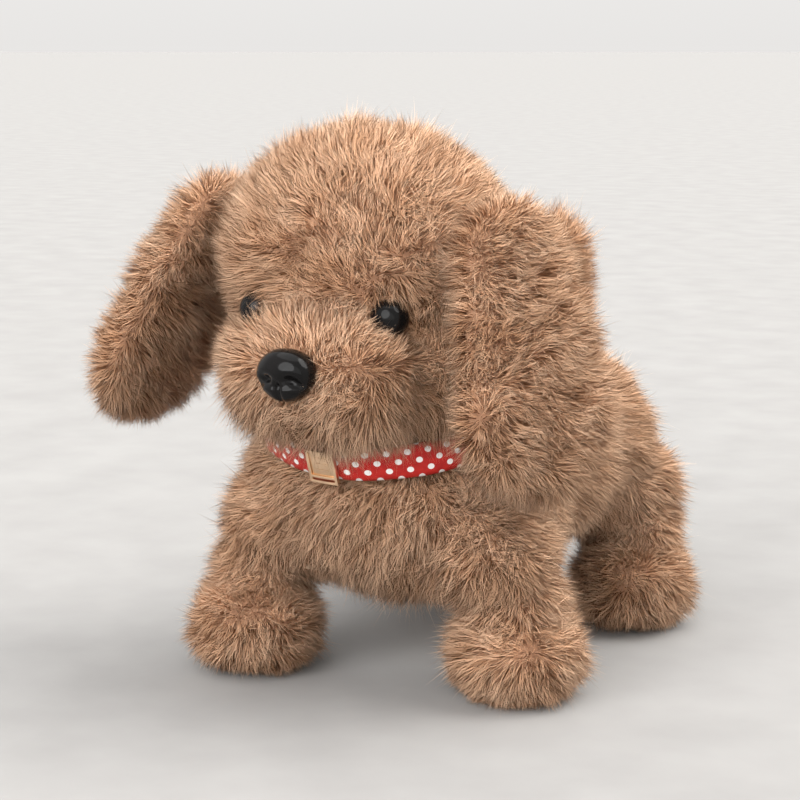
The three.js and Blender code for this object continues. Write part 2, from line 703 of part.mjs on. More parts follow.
// An ear hangs from its root; its flap is a flat ellipsoid, wider towards the tip. The left one
// is turned so that its front edge lies against the cheek.
function earFlap(name, side, spread, turn) {
  const { thickness, width, length } = ear;
  const half = thickness / 2;
  const flap = ball([half + 0.8, 0, -length / 2], [half, width / 2, length / 2]);
  const tip = ball([half + 1.6, 0, -length * 0.64], [half, width / 2 + 1.5, length * 0.34]);
  const hung = joined(flap, tip).rotate([0, 0, -turn]).rotate([0, -spread, 0])
    .translate([earRoot.x, earRoot.y, earRoot.z]);
  add(name, onSide(hung, side), finish.plush);
}

// ---------------------------------------------------------------- tail

const tailPin = { radius: 1.4, y0: 61.4, y1: 76 };

function tailParts() {
  const hub = barY(4.4, 0, 66, 72.6, tailPivot.z);
  const stem = block([-2, 67, tailPivot.z + 3], [2, 71.6, tail.z + 8]);
  const bore = barY(tailPin.radius + touch / 2, 0, 60, 80, tailPivot.z, pinSides);
  add('tail_arm', cut(joined(hub, stem), bore), finish.frame);
  const room = joined(
    block([-2.4, 66.6, tailPivot.z], [2.4, 72, tail.z + 8.4]),
    barY(4.9, 0, 65.4, 73.2, tailPivot.z),
  );
  const fluff = ball([0, tail.y, tail.z], tail.radii, [-4, 0, 0]);
  add('tail_plush', cut(fluff, room), finish.plush);
}

// A bracket on the back of the chassis holds the pin that the tail's hub turns on.
function tailBracket() {
  const low = tailPivot.z - 8;
  const foot = block([-6, chassis.back + touch, low], [6, chassis.back + 2.4, tailPivot.z + 4]);
  const boss = barY(3.4, 0, chassis.back + 2, tailPin.y1 - 11, tailPivot.z);
  const pin = barY(tailPin.radius, 0, chassis.back + 2, tailPin.y1 - 2.6, tailPivot.z, pinSides);
  add('tail_bracket', joined(foot, boss, pin), finish.frame);
}

// ---------------------------------------------------------------- body plush and collar

// An upright oval band on the collar's line, from inset inside it to thickness outside it.
function ovalBand(inset, thickness, width) {
  const [rx, ry] = collar.radii;
  const outline = new THREE.Shape();
  outline.absellipse(0, 0, rx + thickness, ry + thickness, 0, 2 * Math.PI);
  const hole = new THREE.Path();
  hole.absellipse(0, 0, rx - inset, ry - inset, 0, 2 * Math.PI);
  outline.holes.push(hole);
  const geometry = new THREE.ExtrudeGeometry(outline, {
    depth: width, curveSegments: 12, bevelEnabled: false,
  });
  geometry.translate(0, 0, -width / 2);
  return asSolid(geometry);
}

// The neck leans forward, so that it and the collar are lower at the throat.
function onNeck(solid) {
  return solid.rotate([neck.slope, 0, 0]).translate([0, neck.y, neck.z]);
}

function collarRibbon() {
  add('collar_ribbon', onNeck(ovalBand(0, collar.thickness, collar.width)), finish.ribbon);
}

// A flat metal frame that the ribbon is threaded through, at the throat.
function collarSlider() {
  const { length, width, thickness, angle } = slider;
  const front = -(collar.radii[1] + collar.thickness + touch);
  const slab = block([-length / 2, front - thickness, -width / 2], [length / 2, front, width / 2]);
  add('collar_slider', onNeck(slab.rotate([0, 0, angle])), finish.gold);
}

function bodyPlush() {
  const outer = joined(
    ...bodyForms.map(({ y, z, radii }) => ball([0, y, z], radii, [0, 0, 0], fineBall)),
    onNeck(ball([0, 0, 0], neck.radii, [0, 0, 0], fineBall)),
  );
  const mechanismRoom = ball([0, crankAxis.y, hollow.z], hollow.radii, [0, 0, 0], fineBall);
  const chassisRoom = block(
    [-chassis.halfWidth - 1, chassis.front - 1, chassis.bottom - 0.5],
    [chassis.halfWidth + 1, chassis.back + 1, chassis.top + 0.5],
  );
  const bellyOpening = block([-21, -32, 0], [21, 50, chassis.bottom + 1]);
  const neckHole = barZ(10, 0, headPivot.y, chassis.top - 4, 100);
  const tailRoom = joined(
    ball([0, 70, 92], [16, 16, 16]),
    block([-7, chassis.back - 1, 74], [7, 80, 92]),
  );
  const collarGroove = onNeck(ovalBand(touch, 14, collar.width + 2 * touch));
  const legRooms = legs.map((leg) => onSide(joined(
    barX(22.5, 23, 80, leg.hipY, hipHeight, 20),
    block([23, leg.hipY - 25.5, 0], [80, leg.hipY + 25.5, hipHeight]),
  ), leg.side));
  const plush = cut(outer, mechanismRoom, chassisRoom, bellyOpening, neckHole, tailRoom,
    collarGroove, ...legRooms);
  add('body_plush', plush, finish.plush);
}

// ---------------------------------------------------------------- the whole puppy

bodyPlush();
chassisShell('chassis_left_shell', LEFT);
chassisShell('chassis_right_shell', RIGHT);
neckPostPart();
batteryTray();
batteryCell('battery_cell_left', LEFT);
batteryCell('battery_cell_right', RIGHT);
batteryContacts();
springs();
batteryDoor();
batteryDoorScrew();
powerSwitch();
circuitBoard();
speakerPart();
motor();
gearTrain();
gearboxPlate();
crankShaft();
crankDisc('crank_disc_left', LEFT);
crankDisc('crank_disc_right', RIGHT);
for (const leg of legs) {
  legFrame(leg);
  hipScrew(leg);
  legPlush(leg);
}
headCore();
headPivotPin();
headPlush();
face();
earFlap('ear_left', LEFT, earSpread.left, earTurn.left);
earFlap('ear_right', RIGHT, earSpread.right, earTurn.right);
tailBracket();
tailParts();
collarRibbon();
collarSlider();

// The origin goes under the middle of the outline.
const outline = new THREE.Box3().setFromObject(puppy);
const middle = outline.getCenter(new THREE.Vector3());
puppy.position.set(-middle.x, -middle.y, 0);

export default puppy;
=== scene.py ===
"""A walking plush puppy with a ribbon collar: its looks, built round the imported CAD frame.

Lengths are in millimetres of the puppy's own axes and are turned into metres of the frame by
to_frame(). The puppy's own axes: X = 0 is its middle plane, Y = 0 lies between its hips, Z = 0 is
the floor. It looks along -Y and its left side is +X.
"""

import itertools
import json
import math

import bmesh
import bpy
import numpy as np
from mathutils import Matrix, Vector


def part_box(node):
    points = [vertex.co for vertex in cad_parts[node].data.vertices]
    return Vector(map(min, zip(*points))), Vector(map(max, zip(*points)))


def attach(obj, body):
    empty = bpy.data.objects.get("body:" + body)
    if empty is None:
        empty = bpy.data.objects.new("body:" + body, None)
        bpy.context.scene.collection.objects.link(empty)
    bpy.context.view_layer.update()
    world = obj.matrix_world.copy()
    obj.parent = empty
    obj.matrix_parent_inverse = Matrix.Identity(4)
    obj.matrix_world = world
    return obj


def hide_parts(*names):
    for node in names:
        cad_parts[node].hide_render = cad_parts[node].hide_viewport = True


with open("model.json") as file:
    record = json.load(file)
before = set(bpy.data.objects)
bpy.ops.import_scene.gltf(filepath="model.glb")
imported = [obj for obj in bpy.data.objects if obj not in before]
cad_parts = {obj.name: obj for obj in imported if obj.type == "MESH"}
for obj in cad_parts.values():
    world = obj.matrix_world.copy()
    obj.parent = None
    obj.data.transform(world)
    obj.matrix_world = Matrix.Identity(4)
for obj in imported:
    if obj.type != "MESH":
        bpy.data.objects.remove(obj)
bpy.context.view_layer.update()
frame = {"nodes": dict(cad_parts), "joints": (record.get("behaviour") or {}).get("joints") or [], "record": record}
MM = 0.001

# ------------------------------------------------------------------ places from the frame

joints = {joint["name"]: joint for joint in frame["joints"]}
LEGS = {
    "front_left_leg": (1, 1),
    "front_right_leg": (-1, -1),
    "rear_left_leg": (1, -1),
    "rear_right_leg": (-1, 1),
}  # body name: (side, lean); a leg with lean 1 stands back from its hip
LEG_LEAN = math.radians(9.5)
LEG_X = 43.0
FRONT_HIP_Y = -49.5


def home_point():
    """The puppy's own origin in the frame: under the middle plane, between the hips."""
    low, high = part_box("nose")
    hip = joints["front_left_leg_swing"]["pos_m"]
    return Vector(((low.x + high.x) / 2, hip[1] - FRONT_HIP_Y * MM, 0))


home = home_point()


def to_frame(point):
    return home + Vector(point) * MM


def own(point_m):
    """A point of the frame, in metres, in the puppy's own millimetres."""
    return np.array((Vector(point_m) - home) / MM)


hips = {leg: own(joints[leg + "_swing"]["pos_m"]) for leg in LEGS}
ear_roots = {side: own(joints[f"ear_{side}_lift"]["pos_m"]) for side in ("left", "right")}

# ------------------------------------------------------------------ camera, light and floor

VIEW_AZIMUTH = math.radians(29)
VIEW_ELEVATION = math.radians(10)
VIEW_DISTANCE = 650.0
VIEW_TARGET = (-9.0, -24.0, 84.0)
LENS_MM = 91.4


def add_camera():
    direction = np.array((
        math.sin(VIEW_AZIMUTH) * math.cos(VIEW_ELEVATION),
        -math.cos(VIEW_AZIMUTH) * math.cos(VIEW_ELEVATION),
        math.sin(VIEW_ELEVATION),
    ))
    data = bpy.data.cameras.new("camera")
    data.lens = LENS_MM
    camera = bpy.data.objects.new("camera", data)
    camera.location = to_frame(np.array(VIEW_TARGET) + direction * VIEW_DISTANCE)
    aim = to_frame(VIEW_TARGET) - camera.location
    camera.rotation_euler = aim.to_track_quat("-Z", "Y").to_euler()
    bpy.context.scene.collection.objects.link(camera)
    bpy.context.scene.camera = camera


def add_soft_light(name, place, strength, spread, colour=(1, 1, 1)):
    """A broad even light from where place lies; spread is its size in the sky, in degrees."""
    data = bpy.data.lights.new(name, "SUN")
    data.energy = strength
    data.angle = math.radians(spread)
    data.color = colour
    light = bpy.data.objects.new(name, data)
    light.rotation_euler = (-Vector(place)).to_track_quat("-Z", "Y").to_euler()
    bpy.context.scene.collection.objects.link(light)


HORIZON = (0.81, 0.795, 0.78, 1)
OVERHEAD = (1.0, 0.99, 0.975, 1)
OVERHEAD_FROM = 0.25


def add_sky():
    """A pale room: brighter overhead than at the horizon."""
    world = bpy.data.worlds.new("studio")
    world.use_nodes = True
    tree = world.node_tree
    place = tree.nodes.new("ShaderNodeTexCoord")
    split = tree.nodes.new("ShaderNodeSeparateXYZ")
    shade = tree.nodes.new("ShaderNodeValToRGB")
    horizon, overhead = shade.color_ramp.elements
    horizon.color = HORIZON
    overhead.color = OVERHEAD
    overhead.position = OVERHEAD_FROM
    tree.links.new(place.outputs["Generated"], split.inputs[0])
    tree.links.new(split.outputs["Z"], shade.inputs["Fac"])
    tree.links.new(shade.outputs["Color"], tree.nodes["Background"].inputs["Color"])
    bpy.context.scene.world = world


def add_studio():
    add_sky()
    add_soft_light("window", (0.85, 0.35, 1.05), 3.0, 45, (1, 0.98, 0.95))
    add_soft_light("front", (0.0, -1.3, 0.75), 3.0, 50)
    add_soft_light("fill", (0.45, -1.1, 0.15), 0.9, 70)
    add_soft_light("top", (-0.1, 0.1, 1.3), 1.2, 60)
    bpy.context.scene.view_settings.view_transform = "Standard"


add_camera()
add_studio()

# ------------------------------------------------------------------ materials


# Sockets of the Mix node when it mixes two colours.
MIX_SHARE, MIX_FIRST, MIX_SECOND, MIX_RESULT = 0, 6, 7, 2


class Nodes:
    """A short way to build a node material around one Principled shader."""

    def __init__(self, name, roughness, **constants):
        self.material = bpy.data.materials.new(name)
        self.material.use_nodes = True
        self.tree = self.material.node_tree
        self.shader = self.tree.nodes["Principled BSDF"]
        self.shader.inputs["Roughness"].default_value = roughness
        for socket, value in constants.items():
            self.shader.inputs[socket.replace("_", " ")].default_value = value

    def node(self, kind, **settings):
        made = self.tree.nodes.new(kind)
        for key, value in settings.items():
            setattr(made, key, value)
        return made

    def link(self, source, target):
        self.tree.links.new(source, target)

    def feed(self, socket, value):
        """Sets a number or a colour on a socket, or links another node's output to it."""
        if isinstance(value, (int, float)):
            socket.default_value = value
        elif isinstance(value, tuple):
            socket.default_value = (*value, 1)
        else:
            self.link(value, socket)

    def noise(self, scale, detail=3.0):
        texture = self.node("ShaderNodeTexNoise")
        texture.inputs["Scale"].default_value = scale
        texture.inputs["Detail"].default_value = detail
        place = self.node("ShaderNodeTexCoord").outputs["Object"]
        self.link(place, texture.inputs["Vector"])
        return texture.outputs["Fac"]

    def ramp(self, value, stops):
        """stops: (position, colour) pairs."""
        made = self.node("ShaderNodeValToRGB")
        elements = made.color_ramp.elements
        while len(elements) < len(stops):
            elements.new(0.5)
        for element, (position, colour) in zip(elements, stops):
            element.position = position
            element.color = (*colour, 1)
        self.link(value, made.inputs["Fac"])
        return made.outputs["Color"]

    def mottle(self, scale, detail, dark, light, edges=(0.3, 0.7)):
        """A colour that drifts between two shades in soft patches."""
        return self.ramp(self.noise(scale, detail), ((edges[0], dark), (edges[1], light)))

    def mix(self, share, first, second):
        made = self.node("ShaderNodeMix", data_type="RGBA")
        for place, value in ((MIX_SHARE, share), (MIX_FIRST, first), (MIX_SECOND, second)):
            self.feed(made.inputs[place], value)
        return made.outputs[MIX_RESULT]

    def calculate(self, operation, *values):
        made = self.node("ShaderNodeMath", operation=operation)
        for socket, value in zip(made.inputs, values):
            self.feed(socket, value)
        return made.outputs[0]

    def colour(self, value):
        self.link(value, self.shader.inputs["Base Color"])

    def bump(self, height, strength, distance):
        made = self.node("ShaderNodeBump")
        made.inputs["Strength"].default_value = strength
        made.inputs["Distance"].default_value = distance
        self.link(height, made.inputs["Height"])
        self.link(made.outputs["Normal"], self.shader.inputs["Normal"])


# A fibre's colours: all start alike at a darker root, which is painted shade deep in the pile, and brighten to a
# lighter tip, which is painted light shining through the fibre; they run to the light or the darker pair by their
# tone, which also carries painted light and shade on the face.
PILE_ROOT = (0.36, 0.18, 0.10)
PILE_LIGHT = (0.84, 0.475, 0.275)
PILE_LIGHT_TIP = (0.98, 0.71, 0.51)
PILE_SHADE = (0.52, 0.26, 0.135)
PILE_SHADE_TIP = (0.74, 0.43, 0.25)
BACKING_DARK = (0.34, 0.19, 0.115)
BACKING_LIGHT = (0.42, 0.24, 0.15)
BLACK_DEEP = (0.003, 0.003, 0.003)
BLACK_WORN = (0.008, 0.007, 0.007)
FIBRE_LAYER = "OFBake"  # the UV layer that colours fibres and ribbon


def pile_material():
    """The fibres: u runs from root to tip, v is the fibre's tone. A fibre is darker at its root, painted shade
    deep in the pile, and lighter at its tip, painted light shining through it.
    """
    made = Nodes("pile", 0.8, Specular_IOR_Level=0.05, Sheen_Weight=0.08, Sheen_Roughness=0.5)
    made.shader.inputs["Sheen Tint"].default_value = (1, 0.8, 0.62, 1)
    layer = made.node("ShaderNodeUVMap", uv_map=FIBRE_LAYER)
    split = made.node("ShaderNodeSeparateXYZ")
    made.link(layer.outputs["UV"], split.inputs[0])
    along, tone = split.outputs["X"], split.outputs["Y"]
    # The darker root is painted shade in the pile; the lighter tip is painted light through the fibre's end.
    dark = made.ramp(along, ((0.0, PILE_ROOT), (0.45, PILE_SHADE), (1.0, PILE_SHADE_TIP)))
    light = made.ramp(along, ((0.0, PILE_ROOT), (0.35, PILE_LIGHT), (1.0, PILE_LIGHT_TIP)))
    made.colour(made.mix(tone, dark, light))
    return made.material


def skin_material():
    """The knitted backing between the fibres."""
    made = Nodes("pile_backing", 0.95, Specular_IOR_Level=0.05)
    made.colour(made.mottle(900, 3, BACKING_DARK, BACKING_LIGHT))
    made.bump(made.noise(2200), 0.4, 0.0004)
    return made.material


def moulded_plastic(name, colour, roughness=0.55):
    """Plastic with a fine eggshell grain and faint flow marks."""
    made = Nodes(name, roughness)
    darker = tuple(c * 0.82 for c in colour)
    made.colour(made.mottle(60, 6, darker, colour, edges=(0.35, 0.65)))
    made.bump(made.noise(1800), 0.12, 0.0002)
    return made.material


def metal(name, colour, roughness=0.3):
    """Metal with faint stains and a fine grain."""
    made = Nodes(name, roughness, Metallic=1.0)
    darker = tuple(c * 0.75 for c in colour)
    made.colour(made.mottle(220, 8, darker, colour))
    made.bump(made.noise(1500), 0.08, 0.0001)
    return made.material


def gloss_black():
    """Polished black plastic with the slight waves of a moulded button."""
    made = Nodes("gloss_black", 0.11, Specular_IOR_Level=0.14)
    made.colour(made.mottle(120, 4, BLACK_DEEP, BLACK_WORN))
    made.bump(made.noise(260, 2), 0.10, 0.0006)
    return made.material


pile = pile_material()
backing = skin_material()
gloss = gloss_black()
gilt = metal("gilt", (0.97, 0.68, 0.44), 0.30)

# ------------------------------------------------------------------ soft skins


def turned(points, turn):
    """Points turned by a rotation matrix."""
    return np.asarray(points) @ np.array(turn).T


def add_object(name, mesh, material):
    made = bpy.data.objects.new(name, mesh)
    bpy.context.scene.collection.objects.link(made)
    made.data.materials.append(material)
    return made


def lump_mesh(name, lumps, voxel=1.6, rounds=10):
    """One closed smooth mesh over several ellipsoids: (centre, radii) or (centre, radii, turn)."""
    shape = bmesh.new()
    for centre, radii, *rest in lumps:
        turn = rest[0] if rest else Matrix.Identity(3)
        ball = bmesh.ops.create_uvsphere(shape, u_segments=40, v_segments=24, radius=1.0)["verts"]
        points = turned(np.array([v.co for v in ball]) * np.array(radii), turn) + np.array(centre)
        for vertex, point in zip(ball, points):
            vertex.co = to_frame(point)
    rough = bpy.data.meshes.new(name + "_rough")
    shape.to_mesh(rough)
    shape.free()
    made = bpy.data.objects.new(name, rough)
    bpy.context.scene.collection.objects.link(made)
    remesh = made.modifiers.new("even", "REMESH")
    remesh.mode = "VOXEL"
    remesh.voxel_size = voxel * MM
    smooth = made.modifiers.new("smooth", "SMOOTH")
    smooth.factor = 0.5
    smooth.iterations = rounds
    graph = bpy.context.evaluated_depsgraph_get()
    final = bpy.data.meshes.new_from_object(made.evaluated_get(graph))
    made.modifiers.clear()
    made.data = final
    final.name = name
    final.materials.clear()
    final.materials.append(backing)
    for polygon in final.polygons:
        polygon.use_smooth = True
    return made


def mesh_points(mesh):
    """Vertices of a mesh in the puppy's own millimetres."""
    co = np.empty(len(mesh.vertices) * 3)
    mesh.vertices.foreach_get("co", co)
    return (co.reshape(-1, 3) - np.array(home)) / MM


def set_mesh_points(mesh, points):
    mesh.vertices.foreach_set("co", (points * MM + np.array(home)).ravel())
    mesh.update()


# ------------------------------------------------------------------ growing the pile

STRANDS_IN_ONE_PIECE = 60000


def unit(vectors):
    return vectors / np.maximum(np.linalg.norm(vectors, axis=1, keepdims=True), 1e-9)


def flattened(vectors, normals):
    """The part of each vector that lies along the surface."""
    return vectors - normals * np.sum(vectors * normals, axis=1, keepdims=True)


def waves(points, wavelength, seed, width=3):
    """Soft noise of spread 1 about 0 for each point, from a few crossing sine waves."""
    rng = np.random.default_rng(seed)
    count = 9
    total = np.zeros((len(points), width))
    for _ in range(count):
        direction = rng.normal(size=(3, width))
        direction /= np.linalg.norm(direction, axis=0)
        number = 2 * math.pi / (wavelength * rng.uniform(0.7, 1.5))
        total += np.sin(points @ direction * number + rng.uniform(0, 2 * math.pi, width))
    return total / math.sqrt(count / 2)


# A plain integer hash, so that the same cell always gives the same place in it.
HASH_PRIMES = (73856093, 19349663, 83492791)
HASH_SEED = 2654435
HASH_AXES = (1, 31, 977)
HASH_SHIFT = 7
HASH_RANGE = 1021


def place_in_cell(cells, seed):
    """For each cell of a grid, a random place in it, from 0 to 1 along each axis."""
    mixed = seed * HASH_SEED
    for axis, prime in enumerate(HASH_PRIMES):
        mixed = mixed ^ cells[:, axis] * prime
    places = [((mixed * number) >> HASH_SHIFT) % HASH_RANGE for number in HASH_AXES]
    return np.stack(places, axis=1) / HASH_RANGE


def tuft_centres(points, size, seed):
    """For each point, the nearest of a field of scattered centres about size apart."""
    cell = np.floor(points / size).astype(np.int64)
    nearest = np.full(len(points), np.inf)
    centres = np.zeros_like(points)
    for step in itertools.product((-1, 0, 1), repeat=3):
        corner = cell + np.array(step)
        candidate = (corner + place_in_cell(corner, seed)) * size
        distance = np.sum((candidate - points) ** 2, axis=1)
        closer = distance < nearest
        nearest[closer] = distance[closer]
        centres[closer] = candidate[closer]
    return centres


def scattered_roots(mesh, density, rng):
    """Random places on a mesh, about density for each square millimetre, with normals."""
    mesh.calc_loop_triangles()
    corners = np.empty(len(mesh.loop_triangles) * 3, np.int64)
    mesh.loop_triangles.foreach_get("vertices", corners)
    corners = corners.reshape(-1, 3)
    points = mesh_points(mesh)
    normals = np.empty(len(mesh.vertices) * 3)
    mesh.vertices.foreach_get("normal", normals)
    normals = normals.reshape(-1, 3)
    a, b, c = (points[corners[:, k]] for k in range(3))
    areas = np.linalg.norm(np.cross(b - a, c - a), axis=1) / 2
    count = int(areas.sum() * density)
    chosen = np.searchsorted(np.cumsum(areas), rng.random(count) * areas.sum())
    chosen = np.minimum(chosen, len(areas) - 1)
    r, s = np.sqrt(rng.random((count, 1))), rng.random((count, 1))
    share = np.hstack((1 - r, r * (1 - s), r * s))[:, :, None]
    return (
        np.sum(points[corners[chosen]] * share, axis=1),
        unit(np.sum(normals[corners[chosen]] * share, axis=1)),
    )


class Pile:
    """How the pile grows on one skin. Lengths in millimetres."""

    def __init__(self, comb, length, lean=0.28, density=7.5, width=0.15, tuft=(2.2, 0.26),
                 wisp=(6.0, 0.13), curl=0.0, swirl=0.8, keep=None, tone=None, seed=1):
        self.comb = comb          # points, normals -> direction the pile is brushed in
        self.length = length      # points -> length of the fibres, or one number
        self.lean = lean          # how far the tips are brushed over, as a share of the length
        self.density = density    # fibres for each square millimetre
        self.width = width        # at the root
        self.tuft = tuft          # (size, pull) of the small tufts
        self.wisp = wisp          # (size, pull) of the larger ones
        self.curl = curl          # radius of a fibre's curl
        self.swirl = swirl        # how much the brushing wanders
        self.keep = keep          # points, normals -> which roots grow
        # On the head this extra lightness is painted light on the muzzle and painted shade in the crease round it
        # and round the eyes.
        self.tone = tone          # points -> extra lightness
        self.seed = seed


SEGMENTS = 2
FLOOR_CLEARANCE = 0.35
ROOT_DEPTH = 0.6  # how far under the skin a fibre starts
STRAY = 0.38  # how far single fibres stray from the brushing
BRUSHING_DRIFTS = ((26, 0.5), (9, 0.7), (4, 0.5))  # (wavelength, share) of its wandering
LENGTH_DRIFT = (11, 0.10)
LENGTH_RANGE = (0.80, 1.06)
LEAN_DRIFT = (14, 0.22)
LEAN_RANGE = (0.7, 1.3)
HEIGHT_LOST = 0.30  # of a fibre that leans, as a share of its lean
BEND = 1.6  # a power: the higher, the more a fibre bends near its tip only
TUFT_BEND = 1.4
CURL_TURNS = 1.1
CURL_STEP = 1.7  # how much the curl differs between tufts
CURL_SPREAD = 0.5  # and between the fibres of a tuft


def fibre_lengths(roots, kind, rng):
    """The length of each fibre, drifting over the skin and a little random."""
    count = len(roots)
    length = kind.length(roots) if callable(kind.length) else np.full(count, float(kind.length))
    wavelength, share = LENGTH_DRIFT
    drift = 1 + share * waves(roots, wavelength, kind.seed + 5, 1)[:, 0]
    return length * drift * rng.uniform(*LENGTH_RANGE, count)


def brushing(roots, normals, kind, rng):
    """The direction each fibre is brushed in."""
    brushed = unit(flattened(kind.comb(roots, normals), normals))
    for wavelength, share in BRUSHING_DRIFTS:
        brushed = brushed + share * kind.swirl * waves(roots, wavelength, kind.seed + wavelength)
    return unit(flattened(brushed, normals)) + STRAY * rng.normal(size=(len(roots), 3))


def tuft_pulls(roots, normals, kind):
    """How far each tip is drawn sideways into its small tuft and its wisp."""
    pulls = np.zeros((len(roots), 3))
    for number, (size, pull) in enumerate((kind.tuft, kind.wisp)):
        centres = tuft_centres(roots, size, kind.seed * 10 + number)
        pulls += pull * flattened(centres - roots, normals)
    return pulls


def curl_phase(roots, kind, rng):
    """The angle at which each fibre's curl starts; a curled tuft's fibres turn together."""
    count = len(roots)
    phase = rng.uniform(0, 2 * math.pi, (count, 1))
    if kind.curl:
        tufts = tuft_centres(roots, kind.tuft[0], kind.seed * 10)
        of_tuft = tufts.sum(axis=1, keepdims=True) * CURL_STEP
        phase = of_tuft + CURL_SPREAD * rng.normal(size=(count, 1))
    return phase


def fibre_lines(roots, normals, kind, rng):
    """Points of every fibre from its root to its tip: (fibres, SEGMENTS + 1, 3)."""
    count = len(roots)
    length = fibre_lengths(roots, kind, rng)[:, None]
    brushed = brushing(roots, normals, kind, rng)
    wavelength, share = LEAN_DRIFT
    lean = kind.lean * rng.uniform(*LEAN_RANGE, (count, 1))
    lean = lean * (1 + share * waves(roots, wavelength, kind.seed + 3, 1))
    pulls = tuft_pulls(roots, normals, kind)
    phase = curl_phase(roots, kind, rng)
    side = unit(np.cross(normals, brushed))
    lines = np.empty((count, SEGMENTS + 1, 3))
    for step in range(SEGMENTS + 1):
        t = step / SEGMENTS
        rise = t * (1 - HEIGHT_LOST * lean * t)
        over = lean * t ** BEND
        turn = phase + 2 * math.pi * CURL_TURNS * t
        twist = kind.curl * t * (np.cos(turn) * side + np.sin(turn) * brushed)
        lines[:, step] = (
            roots - ROOT_DEPTH * normals * (1 - t)
            + length * (rise * normals + over * brushed)
            + pulls * t ** TUFT_BEND + twist
        )
    lines[:, :, 2] = np.maximum(lines[:, :, 2], FLOOR_CLEARANCE)
    return lines


TAPER = 0.4  # a power: the lower, the nearer its tip a fibre starts to narrow
TONE_STEP = 0.004  # between a fibre's two edges, so that its UV faces have some width
UV_MARGIN = 0.002
NORMAL_SCATTER = 0.16
NORMAL_LEAN = 0.25  # how far the shading of a fibre turns towards its tip


def fibre_uv(tones, pattern, per_fibre):
    """u runs from the root to the tip, and v is the fibre's tone."""
    along = np.array([k // 2 / SEGMENTS for k in range(per_fibre)])
    edges = np.array([-TONE_STEP, TONE_STEP] * SEGMENTS + [0])
    uv = np.empty((len(tones), len(pattern), 2))
    uv[:, :, 0] = np.clip(along[pattern], UV_MARGIN, 1 - UV_MARGIN)
    uv[:, :, 1] = np.clip(tones[:, None] + edges[pattern], UV_MARGIN / 2, 1 - UV_MARGIN / 2)
    return uv


def fibre_mesh(name, lines, normals, tones, width, rng):
    """A flat tapering ribbon along every line; one mesh."""
    count = len(lines)
    along = unit(lines[:, -1] - lines[:, 0])
    across = unit(np.cross(along, rng.normal(size=(count, 3))))
    rows = []
    for step in range(SEGMENTS):
        half = width / 2 * (1 - step / SEGMENTS) ** TAPER
        rows += [lines[:, step] - across * half, lines[:, step] + across * half]
    rows.append(lines[:, -1])
    per_fibre = len(rows)
    points = np.stack(rows, axis=1).reshape(-1, 3) * MM + np.array(home)

    quads = [(2 * s, 2 * s + 1, 2 * s + 3, 2 * s + 2) for s in range(SEGMENTS - 1)]
    tip = (2 * SEGMENTS - 2, 2 * SEGMENTS - 1, 2 * SEGMENTS)
    pattern = np.array([corner for face in (*quads, tip) for corner in face])
    starts = 4 * np.arange(len(quads) + 1)
    each = np.arange(count)[:, None]
    loops = (pattern + per_fibre * each).ravel()
    loop_starts = (starts + len(pattern) * each).ravel()

    mesh = bpy.data.meshes.new(name)
    mesh.vertices.add(len(points))
    mesh.vertices.foreach_set("co", points.ravel())
    mesh.loops.add(len(loops))
    mesh.loops.foreach_set("vertex_index", loops)
    mesh.polygons.add(len(loop_starts))
    mesh.polygons.foreach_set("loop_start", loop_starts)
    mesh.update(calc_edges=True)
    layer = mesh.uv_layers.new(name=FIBRE_LAYER)
    layer.data.foreach_set("uv", fibre_uv(tones, pattern, per_fibre).ravel())
    soft = unit(normals + NORMAL_SCATTER * rng.normal(size=(count, 3)) + NORMAL_LEAN * along)
    mesh.normals_split_custom_set_from_vertices(np.repeat(soft, per_fibre, axis=0))
    return mesh


MIDDLE_TONE = 0.60
SKIN_TONES = (17, 0.13)  # (wavelength, share) of the drift over the skin
TUFT_TONES = (4, 0.17)  # and of the difference from tuft to tuft
FIBRE_TONES = 0.12


def fibre_tones(roots, kind, rng):
    """How light each fibre is, from 0 to 1."""
    # Extra lightness from the skin: on the head, painted light and shade.
    painted_light_and_shade = kind.tone(roots) if kind.tone is not None else 0.0
    tufts = tuft_centres(roots, kind.tuft[0], kind.seed * 10)
    wavelength, share = SKIN_TONES
    tones = MIDDLE_TONE + share * waves(roots, wavelength, kind.seed + 7, 1)[:, 0]
    wavelength, share = TUFT_TONES
    tones = tones + share * waves(tufts, wavelength, kind.seed + 8, 1)[:, 0]
    return np.clip(tones + painted_light_and_shade + FIBRE_TONES * rng.normal(size=len(roots)), 0.02, 0.98)


def grow_pile(name, skin, body, kind):
    """Fibres all over a skin, in as many pieces as it takes, riding on a body."""
    rng = np.random.default_rng(kind.seed)
    density = kind.density * 1.0
    width = kind.width * 1.0
    roots, normals = scattered_roots(skin.data, density, rng)
    if kind.keep is not None:
        kept = kind.keep(roots, normals)
        roots, normals = roots[kept], normals[kept]
    lines = fibre_lines(roots, normals, kind, rng)
    tones = fibre_tones(roots, kind, rng)
    total = max(1, math.ceil(len(roots) / STRANDS_IN_ONE_PIECE))
    for number in range(total):
        part = slice(number, None, total)
        piece_name = f"{name}_{number + 1}"
        mesh = fibre_mesh(piece_name, lines[part], normals[part], tones[part], width, rng)
        piece = add_object(piece_name, mesh, pile)
        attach(piece, body)


def pointing(vector):
    """A comb that brushes everything one way."""
    direction = np.array(vector, float)
    return lambda points, normals: np.tile(direction, (len(points), 1))


def near(points, place, reach):
    """1 at a place, falling softly to 0 at reach."""
    distance = np.linalg.norm(points - np.array(place), axis=1)
    share = np.clip(1 - distance / reach, 0, 1)
    return share * share * (3 - 2 * share)


# ------------------------------------------------------------------ head

